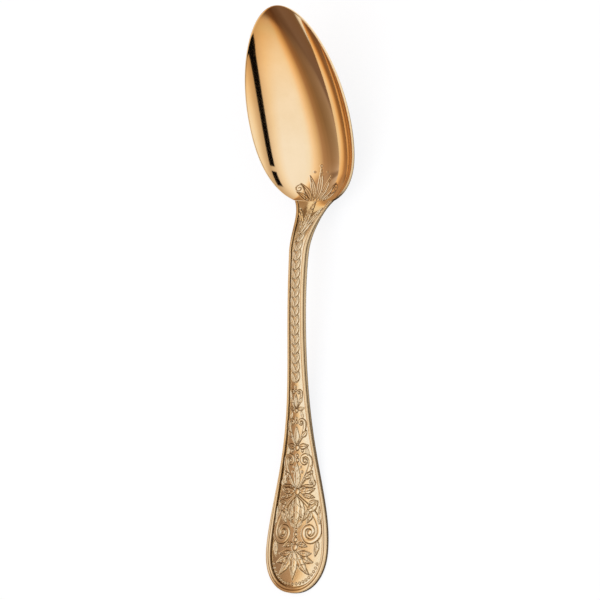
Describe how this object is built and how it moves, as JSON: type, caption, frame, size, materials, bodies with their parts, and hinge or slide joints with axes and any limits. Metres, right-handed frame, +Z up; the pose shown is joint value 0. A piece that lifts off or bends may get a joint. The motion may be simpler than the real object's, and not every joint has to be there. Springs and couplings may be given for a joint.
{
  "type": "tablespoon",
  "caption": "Gold-finished tablespoon: an egg-shaped bowl on a long arched handle whose broad, rounded end carries a raised thread border and a chased panel; for eating and serving.",
  "frame": {"origin": "on the table under the middle of the spoon's plan box, with the spoon lying at rest, hollow side up", "axes": "+X along the spoon towards the tip of its bowl, +Y to the left seen from the end of the handle, +Z up from the table"},
  "size_m": [0.205, 0.045, 0.0352],
  "materials": {
    "polished_gold": "mirror-polished pale gold plate",
    "chased_gold": "gold plate with chased ornament, darker in its cut lines"
  },
  "bodies": {
    "root": {"bowl": "polished_gold", "handle": "polished_gold", "thread_border": "polished_gold", "ornament_panel": "chased_gold"}
  },
  "joints": []
}
